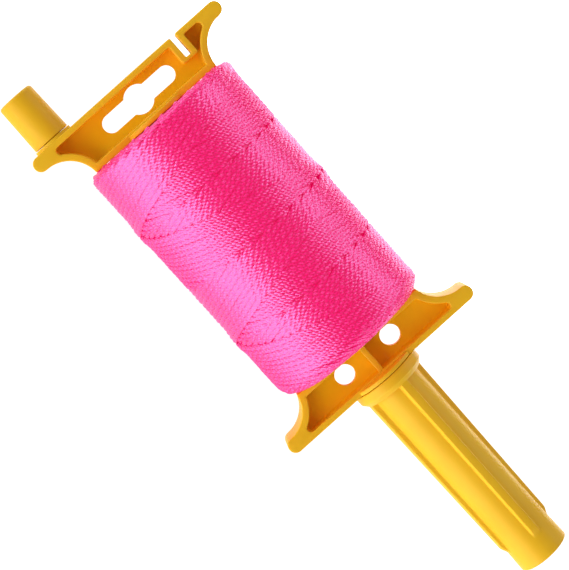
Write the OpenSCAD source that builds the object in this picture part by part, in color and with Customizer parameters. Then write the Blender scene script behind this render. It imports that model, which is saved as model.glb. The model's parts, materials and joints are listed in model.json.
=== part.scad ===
// Hand line reel: two moulded end plates hold a wound roll of twisted line,
// a long grip spins on the handle plate and a small knob spins on the crank plate.
// Everything is built along the reel's own axis and then rolled onto the surface it lies on:
// X runs along the reel from the knob to the grip, Y across the plates, Z through their depth.

/* [End plates] */
// Tip to tip width of both end plates
plate_w = 94.5; // [86:0.5:115]
// Depth of both end plates, front face to back face
plate_d = 17; // [14.5:0.5:21]
// Height of the crank plate along the reel
crank_plate_h = 19.6; // [18:0.1:24]
// Height of the handle plate along the reel
handle_plate_h = 17.4; // [16.5:0.1:22]
// Height of a horn at its tip
horn_h = 6.2; // [5:0.1:7.5]
// Half width of the waist beside the roll
waist_half_w = 30.6; // [27:0.1:33]
// Thickness of the web between the front and back recess
web_t = 3.2; // [2:0.1:5]
// Width of the rim along the outer edge
outer_rim_w = 2.5; // [1.8:0.1:3.5]
// Width of the rim along the roll and the concave sides
inner_rim_w = 2.8; // [2:0.1:3.2]
// Length of solid horn beyond the end of the recess
horn_solid_l = 10.4; // [8:0.1:14]
// Radius of the round end of the recess
recess_end_r = 1.6; // [1:0.1:2]

/* [Hang slot, notch and holes] */
// Width of the two arms of the hang slot
slot_w = 7.3; // [5:0.1:8]
// Length of the hang slot, end to end
slot_l = 35.4; // [26:0.1:40]
// Radius of the round middle of the hang slot
slot_mid_r = 5.9; // [4.5:0.1:6.4]
// Middle of the hang slot from the plate's roll side
slot_from_roll = 10.1; // [9.6:0.1:10.5]
// Width of the notch that holds the line's end
notch_w = 2.5; // [1.5:0.1:3.5]
// Depth of the notch from the plate's outer edge
notch_depth = 9.6; // [6:0.1:11]
// Distance of the notch from the reel's axis
notch_from_axis = 25.4; // [24:0.1:27]
// Width of the wall on each side of the notch
notch_wall = 2.4; // [1.5:0.1:2.8]
// Thickness of the wall at the notch's inner end
notch_end_wall = 1.5; // [1:0.1:3]
// Radius of the two round holes in the handle plate
hole_r = 4.2; // [3:0.1:4.6]
// Distance between the two round holes
hole_spacing = 23.6; // [20:0.1:30]
// Distance of the round holes from the handle plate's outer edge
hole_from_edge = 9.7; // [8:0.1:10]
// Width of the rib in the middle of the handle plate
mid_rib_w = 2.3; // [1.5:0.1:4]
// How far the middle rib lies below the rim
mid_rib_drop = 0.5; // [0:0.1:2]

/* [Roll] */
// Outer radius of the wound line
roll_r = 35.8; // [29:0.1:43]
// Distance between the two end plates, filled by the roll
roll_l = 115.3; // [95:0.1:140]
// Radius of the roll's shoulder at the crank plate
crank_shoulder_r = 3.5; // [1:0.1:8]
// Radius of the roll's shoulder at the handle plate
handle_shoulder_r = 7; // [1:0.1:10]
// Outer radius of the card tube under the line
core_r = 13.4; // [12.8:0.1:14.4]
// Wall of the card tube
core_wall = 2.2; // [1.2:0.1:2.4]

/* [Discs, spigots and arbor] */
// Radius of the discs on the plates and of the grip's collar
disc_r = 15; // [14.6:0.1:18]
// Thickness of the disc beside the roll
disc_t = 2; // [1.2:0.1:2.6]
// Thickness of the disc under the grip's collar
collar_disc_t = 1.7; // [1:0.1:2.4]
// Length of each plate's spigot inside the card tube
spigot_l = 28; // [24:0.5:40]
// Radius of the arbor's round corners
arbor_r = 7.6; // [7.2:0.1:8]
// Width across the arbor's flats
arbor_flats = 13; // [12:0.1:13.4]
// Width of the slit between the arbor's two snap fingers
finger_slit = 2.4; // [1.5:0.1:3.5]
// How far the slit runs past the spigot, and the barbs lie inside it
finger_reach = 8; // [5:0.5:10]
// Length of a snap finger's barb along the reel
barb_l = 3; // [2:0.1:4]
// Width of a barb
barb_w = 5; // [3:0.1:6]
// Height of a barb above the arbor's flat
barb_h = 1.6; // [0.8:0.1:2.5]
// Radius of the cross pin at the handle plate
pin_r = 1.5; // [1:0.1:2.2]

/* [Grip] */
// Length of the spinning grip
grip_l = 95.7; // [80:0.1:118]
// Radius of the grip between its ribs
grip_r = 10.9; // [10.4:0.1:11.6]
// Radius of the grip's plain end
grip_end_r = 11.15; // [10.8:0.05:12.4]
// Length of the plain end
plain_end_l = 9.2; // [7:0.1:14]
// Radius over the ribs at the collar
rib_top_r = 13.2; // [12.6:0.1:14.2]
// Radius over the ribs at the far end
rib_far_r = 12.3; // [11.9:0.1:13]
// Width of a rib
rib_w = 3.2; // [2:0.1:5]
// Number of ribs
rib_count = 4; // [3:1:6]
// Turn of the grip about its axis at rest
grip_turn = 15; // [0:1:45]
// Length of the collar's full radius
collar_l = 3; // [1.5:0.1:5]
// Length of the slope from the collar down to the ribs
collar_slope_l = 2.1; // [1:0.1:4]
// Length over which a rib runs out at its far end
rib_fade_l = 4; // [1:0.5:8]
// Chamfer around the grip's free end
grip_chamfer = 0.6; // [0.2:0.1:1.2]
// Length of each bearing ring inside the grip
bearing_l = 9; // [5:0.5:14]
// Radius of the hollow between the bearing rings
grip_hollow_r = 8.2; // [7.6:0.1:8.6]
// Radius of the stub shaft that the grip spins on
stub_r = 5.94; // [5.2:0.02:6.6]

/* [Crank knob] */
// Distance of the knob from the reel's axis
knob_from_axis = 35; // [30:0.1:37]
// Length of the knob
knob_l = 21.2; // [15:0.1:28]
// Radius of the knob at its foot
knob_foot_r = 7.95; // [7.3:0.05:8.2]
// Radius of the knob at its free end
knob_end_r = 7.6; // [7.1:0.05:8]
// Rounding of the knob's free end
knob_round_r = 1.1; // [0.4:0.1:1.4]
// Radius of the boss under the knob
boss_r = 8.4; // [8:0.1:8.5]
// Height of the boss
boss_h = 1.2; // [0.6:0.1:3]
// Radius of the peg inside the knob
peg_r = 4; // [3.2:0.1:4.4]

/* [Screws and washers] */
// Radius of both screws' shanks
screw_r = 1.5; // [1.1:0.05:1.8]
// Radius of both screws' heads
screw_head_r = 3.1; // [2.5:0.1:3.6]
// Height of both screws' heads
screw_head_h = 2; // [1.4:0.1:2.4]
// Length of a screw's shank below its head
screw_l = 12; // [8:0.5:14]
// Thickness of the retaining washers
washer_t = 0.9; // [0.5:0.1:1.2]
// Radius of the washer that holds the grip
grip_washer_r = 7.7; // [6.8:0.1:8]
// Radius of the washer that holds the knob
knob_washer_r = 4.9; // [4.6:0.1:5.4]
// Thickness of the thrust washer behind the grip's collar
thrust_t = 0.8; // [0.5:0.1:1.5]
// Outer radius of the thrust washer
thrust_r = 11.5; // [9:0.1:13]

/* [Clearances] */
// Radial clearance of a turning fit
run_gap = 0.06; // [0.02:0.01:0.1]
// Radial clearance of parts pushed together by hand
push_gap = 0.08; // [0.03:0.01:0.2]
// Radial clearance of a screw or a pin in its hole
screw_gap = 0.02; // [0.01:0.01:0.1]
// Gap between faces that lie on each other
seat_gap = 0.1; // [0.02:0.01:0.2]
// Play along the axis of the grip and the knob
end_play = 0.25; // [0.1:0.05:0.5]
// Space around a washer in its pocket
pocket_gap = 0.5; // [0.3:0.1:0.8]
// Depth of a screw's head below the face it is sunk in
sink_depth = 1; // [0.4:0.1:3]

/* [Hidden] */
$fn = 64;
amber = [0.93, 0.70, 0.14];
pink = [0.96, 0.05, 0.45];
card = [0.66, 0.52, 0.36];
steel = [0.72, 0.73, 0.75];
nylon = [0.90, 0.89, 0.84];
over = 0.5;                                     // how far a cut runs past the face it opens
half_w = plate_w/2;
half_d = plate_d/2;
side_r = half_w - horn_h/2 - waist_half_w;      // radius of the plates' concave sides
side_y = waist_half_w + side_r;
recess_half_w = half_w - horn_solid_l;
handle_edge_x = roll_l + handle_plate_h;        // outer edge of the handle plate
grip_x = handle_edge_x + thrust_t + end_play;
grip_end_x = grip_x + grip_l;
rib_end_x = grip_end_x - plain_end_l;
grip_pocket_l = plain_end_l + pocket_gap;
grip_pocket_r = grip_washer_r + pocket_gap;
stub_end_x = grip_end_x - grip_pocket_l + end_play;
boss_x = -crank_plate_h - boss_h;
knob_x = boss_x - end_play;
knob_end_x = knob_x - knob_l;
knob_pocket_l = screw_head_h + washer_t + sink_depth;
knob_pocket_r = knob_washer_r + pocket_gap;
peg_end_x = knob_end_x + knob_pocket_l;
core_bore_r = core_r - core_wall;
spigot_r = core_bore_r - 2*push_gap;
arbor_end_x = roll_l - seat_gap;
pin_x = roll_l - spigot_l/2;
barb_x = spigot_l - finger_reach;
slit_l = spigot_l + finger_reach;
rib_root_r = (grip_r + grip_hollow_r)/2;        // a rib grows out of the middle of the grip's wall
lie_angle = asin(roll_r/norm([half_w, half_d])) - atan(half_d/half_w);
mid_x = (knob_end_x + grip_end_x)/2;

// Rolls the reel until its roll and the tips of the knob's horns share one flat surface.
module at_rest() {
    translate([-mid_x, 0, roll_r]) rotate([lie_angle, 0, 0]) children();
}

// Cylinder along X from x with radius r1 growing or shrinking to r2.
module rod(x, l, r1, r2 = 0) {
    translate([x, 0, 0]) rotate([0, 90, 0]) cylinder(h = l, r1 = r1, r2 = r2 > 0 ? r2 : r1);
}

// Turns a profile drawn as [distance along the axis, radius] about the X axis.
module turned() {
    rotate([0, 90, 0]) rotate_extrude() rotate([0, 0, 90]) mirror([0, 1, 0]) children();
}

// The space beside a plate's waist: a quarter round from the horn, then straight towards the roll.
module waist_space(rim = 0) {
    for (side = [0, 1])
        mirror([0, side]) translate([horn_h + side_r, side_y]) {
            circle(r = side_r + rim);
            translate([0, -side_r - rim]) square([plate_w, 2*(side_r + rim)]);
        }
}

// Outline of an end plate whose outer edge lies on x = 0 and whose roll side lies on x = h.
module plate_outline(h) {
    difference() {
        translate([0, -side_y]) square([h, 2*side_y]);
        waist_space();
    }
    for (side = [-1, 1])
        translate([horn_h/2, side*side_y]) circle(r = horn_h/2);
}

// The area inside a plate's rim, with a small round end towards each horn.
module recess_outline(h) {
    difference() {
        translate([outer_rim_w, recess_end_r - recess_half_w])
            square([h - outer_rim_w - inner_rim_w, 2*(recess_half_w - recess_end_r)]);
        waist_space(inner_rim_w);
    }
    for (side = [-1, 1])
        translate([outer_rim_w + recess_end_r, side*(recess_half_w - recess_end_r)]) circle(r = recess_end_r);
}

// A plate with the same recess in front and behind; children() stay standing inside the recess.
module plate_body(h) {
    difference() {
        translate([0, 0, -half_d]) linear_extrude(plate_d) plate_outline(h);
        for (side = [0, 1])
            mirror([0, 0, side])
                translate([0, 0, web_t/2])
                    linear_extrude(half_d) difference() {
                        recess_outline(h);
                        children();
                    }
    }
}

// Square arbor section with round corners, or the same section widened for its socket.
module arbor_section(gap = 0) {
    intersection() {
        circle(r = arbor_r + gap);
        square(arbor_flats + 2*gap, center = true);
    }
}

// Prism of the arbor's section along X.
module arbor_prism(x, l, gap = 0) {
    translate([x, 0, 0]) rotate([0, 90, 0]) linear_extrude(l) arbor_section(gap);
}

// Pan head screw along X whose head rests on x and whose shank points to dir.
module pan_screw(x, dir) {
    translate([x, 0, 0]) mirror([dir < 0 ? 1 : 0, 0, 0]) difference() {
        union() {
            rod(0, screw_l, screw_r);
            rod(-screw_head_h, screw_head_h, 0.8*screw_head_r, screw_head_r);
        }
        for (turn = [0, 90])
            rotate([turn, 0, 0])
                translate([-screw_head_h - over, -0.6*screw_head_r, -0.35])
                    cube([0.55*screw_head_h + over, 1.2*screw_head_r, 0.7]);
    }
}

// Flat washer along X.
module flat_washer(x, t, outer_r, inner_r) {
    difference() {
        rod(x, t, outer_r);
        rod(x - over, t + 2*over, inner_r);
    }
}

// Line notch cut through the whole depth of the crank plate, with a slightly opened mouth.
module notch_cut() {
    translate([-over, notch_from_axis - notch_w/2, -half_d - over])
        cube([notch_depth + over, notch_w, plate_d + 2*over]);
    translate([0, notch_from_axis, 0]) rotate([0, 0, 45])
        cube([notch_w, notch_w, plate_d + 2*over], center = true);
}

// Hang slot through the web: a round middle with an arm to each side.
module hang_slot_cut() {
    translate([crank_plate_h - slot_from_roll, 0, -half_d]) linear_extrude(plate_d) {
        circle(r = slot_mid_r);
        square([slot_w, slot_l - slot_w], center = true);
        for (side = [-1, 1])
            translate([0, side*(slot_l - slot_w)/2]) circle(r = slot_w/2);
    }
}

module crank_plate() {
    color(amber) at_rest() difference() {
        union() {
            translate([-crank_plate_h, 0, 0]) difference() {
                plate_body(crank_plate_h)
                    translate([0, notch_from_axis - notch_w/2 - notch_wall])
                        square([notch_depth + notch_end_wall, notch_w + 2*notch_wall]);
                notch_cut();
                hang_slot_cut();
            }
            rod(-disc_t, disc_t, disc_r);
            rod(-disc_t, disc_t + spigot_l, spigot_r);
            translate([0, -knob_from_axis, 0]) {
                rod(boss_x, boss_h + over, boss_r);
                rod(peg_end_x, boss_x - peg_end_x + over, peg_r);
            }
        }
        arbor_prism(-seat_gap, spigot_l + seat_gap + over, push_gap);
        translate([barb_x - push_gap, -barb_w/2 - push_gap, -spigot_r - over])
            cube([barb_l + 2*push_gap, barb_w + 2*push_gap, 2*(spigot_r + over)]);
        translate([0, -knob_from_axis, 0]) rod(peg_end_x - over, screw_l + over, screw_r + screw_gap);
    }
}

module crank_knob() {
    color(amber) at_rest() translate([0, -knob_from_axis, 0]) difference() {
        union() {
            rod(knob_end_x + knob_round_r, knob_l - knob_round_r, knob_end_r, knob_foot_r);
            rod(knob_end_x, knob_round_r, knob_end_r - knob_round_r);
            turned() translate([knob_end_x + knob_round_r, knob_end_r - knob_round_r]) circle(r = knob_round_r);
        }
        rod(knob_end_x - over, knob_l + 2*over, peg_r + run_gap);
        rod(knob_end_x - over, knob_pocket_l + end_play + over, knob_pocket_r);
    }
}

module knob_washer() {
    color(steel) at_rest() translate([0, -knob_from_axis, 0])
        flat_washer(peg_end_x - washer_t, washer_t, knob_washer_r, screw_r + push_gap);
}

module knob_screw() {
    color(steel) at_rest() translate([0, -knob_from_axis, 0]) pan_screw(peg_end_x - washer_t, 1);
}

module arbor() {
    color(amber) at_rest() difference() {
        union() {
            arbor_prism(0, arbor_end_x);
            translate([barb_x, -barb_w/2, -arbor_flats/2 - barb_h])
                cube([barb_l, barb_w, arbor_flats + 2*barb_h]);
        }
        translate([-over, -arbor_r - over, -finger_slit/2]) cube([slit_l + over, 2*(arbor_r + over), finger_slit]);
        translate([pin_x, 0, 0]) cylinder(h = 3*arbor_r, r = pin_r + screw_gap, center = true);
    }
}

module arbor_pin() {
    color(steel) at_rest() translate([pin_x, 0, 0]) cylinder(h = 2*(spigot_r - seat_gap), r = pin_r, center = true);
}

module roll_core() {
    color(card) at_rest() flat_washer(seat_gap, roll_l - 2*seat_gap, core_r, core_bore_r);
}

module line_roll() {
    inner_r = core_r + push_gap;
    color(pink) at_rest() difference() {
        union() {
            rod(seat_gap + crank_shoulder_r, roll_l - 2*seat_gap - crank_shoulder_r - handle_shoulder_r, roll_r);
            rod(seat_gap, crank_shoulder_r, roll_r - crank_shoulder_r);
            rod(roll_l - seat_gap - handle_shoulder_r, handle_shoulder_r, roll_r - handle_shoulder_r);
            turned() {
                translate([seat_gap + crank_shoulder_r, roll_r - crank_shoulder_r]) circle(r = crank_shoulder_r);
                translate([roll_l - seat_gap - handle_shoulder_r, roll_r - handle_shoulder_r])
                    circle(r = handle_shoulder_r);
            }
        }
        rod(-over, roll_l + 2*over, inner_r);
    }
}

module handle_plate() {
    color(amber) at_rest() difference() {
        union() {
            translate([handle_edge_x, 0, 0]) mirror([1, 0, 0]) difference() {
                union() {
                    plate_body(handle_plate_h);
                    translate([outer_rim_w/2, -mid_rib_w/2, mid_rib_drop - half_d])
                        cube([handle_plate_h - outer_rim_w, mid_rib_w, plate_d - 2*mid_rib_drop]);
                }
                for (side = [-1, 1])
                    translate([hole_from_edge, side*hole_spacing/2, 0])
                        cylinder(h = plate_d, r = hole_r, center = true);
            }
            rod(roll_l, disc_t, disc_r);
            rod(roll_l - spigot_l, spigot_l + disc_t, spigot_r);
            rod(handle_edge_x - collar_disc_t, collar_disc_t, disc_r);
            rod(handle_edge_x - over, stub_end_x - handle_edge_x + over, stub_r);
        }
        arbor_prism(roll_l - spigot_l - over, spigot_l + over, push_gap);
        translate([pin_x, 0, 0]) cylinder(h = 3*spigot_r, r = pin_r + screw_gap, center = true);
        rod(stub_end_x - screw_l, screw_l + over, screw_r + screw_gap);
    }
}

module thrust_washer() {
    color(nylon) at_rest() flat_washer(handle_edge_x, thrust_t, thrust_r, stub_r + push_gap);
}

// One rib: a long bar whose top slopes down along the grip and runs out before the plain end.
module grip_rib() {
    rib_x = collar_l + collar_slope_l - over;
    rib_l = rib_end_x - grip_x - rib_x;
    translate([0, rib_w/2, 0]) rotate([90, 0, 0]) linear_extrude(rib_w)
        polygon([[rib_x, rib_root_r], [rib_x, rib_top_r], [rib_x + rib_l - rib_fade_l, rib_far_r],
                 [rib_x + rib_l, grip_r], [rib_x + rib_l, rib_root_r]]);
}

module handle_grip() {
    color(amber) at_rest() translate([grip_x, 0, 0]) rotate([-grip_turn, 0, 0]) difference() {
        union() {
            rod(0, grip_l - plain_end_l, grip_r);
            rod(grip_l - plain_end_l, plain_end_l - grip_chamfer, grip_r, grip_end_r);
            rod(grip_l - grip_chamfer, grip_chamfer, grip_end_r, grip_end_r - grip_chamfer);
            rod(0, collar_l, disc_r);
            rod(collar_l, collar_slope_l, disc_r, rib_top_r);
            for (i = [0 : rib_count - 1])
                rotate([360*i/rib_count, 0, 0]) grip_rib();
        }
        rod(-over, grip_l + 2*over, stub_r + run_gap);
        rod(bearing_l, grip_l - grip_pocket_l - 2*bearing_l, grip_hollow_r);
        rod(grip_l - grip_pocket_l, grip_pocket_l + over, grip_pocket_r);
    }
}

module grip_washer() {
    color(steel) at_rest() flat_washer(stub_end_x, washer_t, grip_washer_r, screw_r + push_gap);
}

module grip_screw() {
    color(steel) at_rest() pan_screw(stub_end_x + washer_t, -1);
}

crank_plate();
crank_knob();
knob_washer();
knob_screw();
arbor();
arbor_pin();
roll_core();
line_roll();
handle_plate();
thrust_washer();
handle_grip();
grip_washer();
grip_screw();
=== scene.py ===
import json
import math
import random

import bmesh
import bpy
from mathutils import Matrix, Vector
from mathutils.geometry import delaunay_2d_cdt


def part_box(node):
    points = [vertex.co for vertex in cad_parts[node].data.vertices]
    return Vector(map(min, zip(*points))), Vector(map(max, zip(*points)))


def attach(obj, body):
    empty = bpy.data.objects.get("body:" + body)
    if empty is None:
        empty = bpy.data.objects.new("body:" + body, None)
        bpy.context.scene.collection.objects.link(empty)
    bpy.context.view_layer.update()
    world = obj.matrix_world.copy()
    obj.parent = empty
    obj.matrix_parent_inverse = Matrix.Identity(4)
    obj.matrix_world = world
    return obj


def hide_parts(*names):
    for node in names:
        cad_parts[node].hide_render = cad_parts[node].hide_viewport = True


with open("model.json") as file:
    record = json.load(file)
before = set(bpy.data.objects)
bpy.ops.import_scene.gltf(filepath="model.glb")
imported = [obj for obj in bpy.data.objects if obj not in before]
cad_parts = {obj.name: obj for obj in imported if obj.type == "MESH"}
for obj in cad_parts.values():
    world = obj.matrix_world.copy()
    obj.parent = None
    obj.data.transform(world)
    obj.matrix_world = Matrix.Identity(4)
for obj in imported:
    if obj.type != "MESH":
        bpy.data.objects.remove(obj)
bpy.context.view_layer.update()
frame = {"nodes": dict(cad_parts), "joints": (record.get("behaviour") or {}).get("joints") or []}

# Sizes are in millimetres along the reel's own axes: x from the crank plate's roll side to the grip,
# y across the plates with the knob at -y, z through the plates. reelToRow lays that on the surface.
mm = 0.001
seatGap = 0.1
jointPlace = {joint["name"]: Vector(joint["pos_m"]) for joint in frame["joints"]}
axisPoint = Vector((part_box("roll_core")[0].x - seatGap*mm, 0, jointPlace["grip_spin"].z))
toKnob = jointPlace["knob_spin"] - jointPlace["grip_spin"]
lieAngle = math.atan2(-toKnob.z, -toKnob.y)
reelToRow = Matrix.Translation(axisPoint) @ Matrix.Rotation(lieAngle, 4, "X") @ Matrix.Scale(mm, 4)


def alongReel(node, corner):
    # where a CAD node starts (0) or ends (1) along the reel
    return (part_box(node)[corner].x - axisPoint.x)/mm


class Wire:
    # one socket's value; sums and products of wires and numbers add their Math nodes
    def __init__(self, tree, socket):
        self.tree = tree
        self.socket = socket

    def math(self, operation, first, second=None):
        node = self.tree.nodes.new("ShaderNodeMath")
        node.operation = operation
        for place, item in zip(node.inputs, (first, second)):
            if isinstance(item, Wire):
                self.tree.links.new(item.socket, place)
            elif item is not None:
                place.default_value = item
        return Wire(self.tree, node.outputs[0])

    def __add__(self, other):
        return self.math("ADD", self, other)

    def __radd__(self, other):
        return self.math("ADD", other, self)

    def __sub__(self, other):
        return self.math("SUBTRACT", self, other)

    def __rsub__(self, other):
        return self.math("SUBTRACT", other, self)

    def __mul__(self, other):
        return self.math("MULTIPLY", self, other)

    def __rmul__(self, other):
        return self.math("MULTIPLY", other, self)

    def __truediv__(self, other):
        return self.math("DIVIDE", self, other)

    def __rtruediv__(self, other):
        return self.math("DIVIDE", other, self)

    def root(self):
        return self.math("SQRT", self)

    def sine(self):
        return self.math("SINE", self)

    def cosine(self):
        return self.math("COSINE", self)

    def whole(self):
        return self.math("ROUND", self)

    def size(self):
        return self.math("ABSOLUTE", self)

    def atLeast(self, other):
        return self.math("MAXIMUM", self, other)

    def isOver(self, other):
        return self.math("GREATER_THAN", self, other)


class Net:
    # a node tree and the one method that adds nodes to it, with short forms for the usual ones
    def __init__(self, tree):
        self.tree = tree

    def add(self, kind, settings=None, sockets=None, out=0):
        node = self.tree.nodes.new(kind)
        for name, value in (settings or {}).items():
            setattr(node, name, value)
        for name, value in (sockets or {}).items():
            if isinstance(value, Wire):
                self.tree.links.new(value.socket, node.inputs[name])
            else:
                node.inputs[name].default_value = value
        return Wire(self.tree, node.outputs[out]) if node.outputs else node

    def parts(self, vector):
        node = self.add("ShaderNodeSeparateXYZ", None, {0: vector}).socket.node
        return [Wire(self.tree, socket) for socket in node.outputs]

    def objectPlace(self):
        return self.add("ShaderNodeTexCoord", out="Object")

    def attribute(self, name):
        return self.add("ShaderNodeAttribute", {"attribute_name": name}, out="Fac")

    def noise(self, place, scale, detail):
        return self.add("ShaderNodeTexNoise", None, {"Vector": place, "Scale": scale, "Detail": detail})

    def mixColour(self, factor, first, second):
        return self.add("ShaderNodeMix", {"data_type": "RGBA"}, {0: factor, 6: first, 7: second}, out=2)

    def step(self, value, low, high, toLow=0.0, toHigh=1.0):
        sockets = {"Value": value, "From Min": low, "From Max": high, "To Min": toLow, "To Max": toHigh}
        return self.add("ShaderNodeMapRange", {"interpolation_type": "SMOOTHSTEP"}, sockets)


def newFinish(name):
    finish = bpy.data.materials.new(name)
    finish.use_nodes = True
    finish.node_tree.nodes.clear()
    return finish, Net(finish.node_tree)


def closeFinish(net, colour, roughness, height, relief, constants):
    bump = net.add("ShaderNodeBump", None, {"Height": height, "Distance": relief, "Strength": 1.0})
    sockets = {"Base Color": colour, "Roughness": roughness, "Normal": bump}
    sockets.update(constants)
    shader = net.add("ShaderNodeBsdfPrincipled", None, sockets)
    net.add("ShaderNodeOutputMaterial", None, {"Surface": shader})


# the web gets a brighter colour than the rims: painted light, standing in for light that comes through the
# thin web from behind
amberLook = dict(
    colour=(0.87, 0.5, 0.016, 1), warm=(0.85, 0.465, 0.01, 1), backlitWeb=(0.97, 0.54, 0.0, 1),
    pale=(0.9, 0.6, 0.07, 1),
    flowSize=28, flowDetail=3, flowRange=(0.35, 0.65), flowRough=0.06,
    grainSize=1900, grainDetail=2, grainHeight=0.7,
    scuffSize=420, scuffDetail=5, scuffStretch=(0.16, 1, 1), scuffRange=(0.64, 0.74),
    scuffPale=0.3, scuffRough=0.16, scuffHeight=0.3,
    roughness=0.44, relief=0.00004, specular=0.2, ior=1.53,
    subsurface=0.1, subsurfaceRadius=(1.0, 0.45, 0.06), subsurfaceScale=0.002,
)


def amberPlastic(name, look):
    # moulded plastic: slow flow clouds in the colour, a web painted brighter as if lit from behind, a fine
    # spark-eroded grain, and narrow scuffs
    finish, net = newFinish(name)
    place = net.objectPlace()
    cloud = net.step(net.noise(place, look["flowSize"], look["flowDetail"]), *look["flowRange"])
    grain = net.noise(place, look["grainSize"], look["grainDetail"])
    scuffPlace = net.add("ShaderNodeMapping", None, {"Vector": place, "Scale": look["scuffStretch"]})
    scuffed = net.step(net.noise(scuffPlace, look["scuffSize"], look["scuffDetail"]), *look["scuffRange"])
    colour = net.mixColour(cloud, look["colour"], look["warm"])
    # painted light: the web turns to the brighter colour as if lit from behind
    colour = net.mixColour(net.attribute("backlitWeb"), colour, look["backlitWeb"])
    colour = net.mixColour(scuffed*look["scuffPale"], colour, look["pale"])
    roughness = look["roughness"] + look["flowRough"]*cloud + look["scuffRough"]*scuffed
    height = grain*look["grainHeight"] + scuffed*look["scuffHeight"]
    closeFinish(net, colour, roughness, height, look["relief"], {
        "Subsurface Weight": look["subsurface"], "Subsurface Radius": look["subsurfaceRadius"],
        "Subsurface Scale": look["subsurfaceScale"], "Specular IOR Level": look["specular"],
        "IOR": look["ior"],
    })
    return finish


# painted light on the line: a darker colour in the valleys between plies and beads as painted shade, paler
# bead crowns as a painted highlight, and an emitted glow that is dimmer in the valleys
lineLook = dict(
    colour=(0.62, 0.0, 0.13, 1), valleyShade=(0.34, 0.0, 0.05, 1), pale=(0.66, 0.0, 0.22, 1),
    gloss=(0.6, 0.44, 1.0, 1), glow=(1.0, 0.0, 0.1, 1), shadedGlow=(0.78, 0.0, 0.07, 1), glowStrength=0.6,
    fibreSize=1500, fibreDetail=2, fibreRange=(0.4, 0.75), fibrePale=0.6, fibreHeight=0.15,
    roughRange=(0.3, 0.7), roughness=0.19, fibreRough=0.2,
    bead=0.0023, beadRange=(0.2, 0.9), beadHighlight=0.8, beadHeight=0.35, plyHeight=0.4, relief=0.00026,
    crownPly=0.7, crownBead=0.6, crownRange=(-0.1, 0.45), ior=1.95, sheen=0.25, sheenRoughness=0.45,
)


def twistedLine(name, look):
    # ply is 0 in the valleys between the plies and 1 on their backs, side changes sign from ply to ply,
    # and along is the distance down the line: together they set rows of beads, each half a bead off
    finish, net = newFinish(name)
    ply, side, along = (net.attribute(label) for label in ("ply", "side", "along"))
    fibre = net.noise(net.objectPlace(), look["fibreSize"], look["fibreDetail"])
    bead = side*(along*(2*math.pi/look["bead"])).cosine()
    fibrePale = net.step(fibre, *look["fibreRange"], toHigh=look["fibrePale"])
    # painted highlight: the bead crowns turn to the paler colour
    beadHighlight = net.step(bead, *look["beadRange"], toHigh=look["beadHighlight"])
    body = net.mixColour(fibrePale, look["colour"], look["pale"])
    body = net.mixColour(beadHighlight, body, look["pale"])
    # painted shade: where the plies and beads sink, the colour turns to the darker valley colour
    crown = net.step(ply*look["crownPly"] + bead*look["crownBead"], *look["crownRange"])
    colour = net.mixColour(crown, look["valleyShade"], body)
    # painted glow: the line emits light of its own, dimmer in the valleys as painted shade
    glow = net.mixColour(crown, look["shadedGlow"], look["glow"])
    roughness = look["roughness"] + look["fibreRough"]*net.step(fibre, *look["roughRange"])
    height = fibre*look["fibreHeight"] + bead*look["beadHeight"] + ply*look["plyHeight"]
    closeFinish(net, colour, roughness, height, look["relief"], {
        "Sheen Weight": look["sheen"], "Sheen Roughness": look["sheenRoughness"], "Sheen Tint": look["gloss"],
        "IOR": look["ior"], "Specular IOR Level": 1.0, "Specular Tint": look["gloss"],
        "Emission Color": glow, "Emission Strength": look["glowStrength"],
    })
    return finish


cardLook = dict(
    dark=(0.34, 0.21, 0.11, 1), light=(0.5, 0.35, 0.2, 1), pulpSize=1400, pulpDetail=5,
    pulpStretch=(1.0, 0.3, 0.3), pulpRange=(0.3, 0.7), pulpRough=0.1,
    roughness=0.82, relief=0.0001, specular=0.2,
)


def kraftCard(name, look):
    finish, net = newFinish(name)
    fibres = net.add("ShaderNodeMapping", None, {"Vector": net.objectPlace(), "Scale": look["pulpStretch"]})
    pulp = net.noise(fibres, look["pulpSize"], look["pulpDetail"])
    colour = net.mixColour(net.step(pulp, *look["pulpRange"]), look["dark"], look["light"])
    roughness = look["roughness"] + look["pulpRough"]*pulp
    closeFinish(net, colour, roughness, pulp, look["relief"], {"Specular IOR Level": look["specular"]})
    return finish


steelLook = dict(
    bright=(0.66, 0.67, 0.69, 1), yellowed=(0.74, 0.7, 0.56, 1), hazeSize=240, hazeDetail=2,
    hazeRange=(0.4, 0.65), spangleSize=900, spangleDetail=3, spangleRange=(0.3, 0.7), spangleRough=0.16,
    roughness=0.24, relief=0.00003,
)


def zincSteel(name, look):
    # bright zinc with a fine spangle and a faint yellow passivation
    finish, net = newFinish(name)
    place = net.objectPlace()
    spangle = net.noise(place, look["spangleSize"], look["spangleDetail"])
    haze = net.noise(place, look["hazeSize"], look["hazeDetail"])
    colour = net.mixColour(net.step(haze, *look["hazeRange"]), look["bright"], look["yellowed"])
    roughness = look["roughness"] + look["spangleRough"]*net.step(spangle, *look["spangleRange"])
    closeFinish(net, colour, roughness, spangle, look["relief"], {"Metallic": 1.0})
    return finish


nylonLook = dict(
    dark=(0.78, 0.76, 0.68, 1), light=(0.86, 0.85, 0.79, 1), mottleSize=500, mottleDetail=3,
    mottleRange=(0.3, 0.7), mottleRough=0.12, roughness=0.42, relief=0.00005,
    subsurface=0.2, subsurfaceScale=0.001,
)


def plainNylon(name, look):
    finish, net = newFinish(name)
    mottle = net.noise(net.objectPlace(), look["mottleSize"], look["mottleDetail"])
    colour = net.mixColour(net.step(mottle, *look["mottleRange"]), look["dark"], look["light"])
    closeFinish(net, colour, look["roughness"] + look["mottleRough"]*mottle, mottle, look["relief"], {
        "Subsurface Weight": look["subsurface"], "Subsurface Scale": look["subsurfaceScale"],
    })
    return finish


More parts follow.
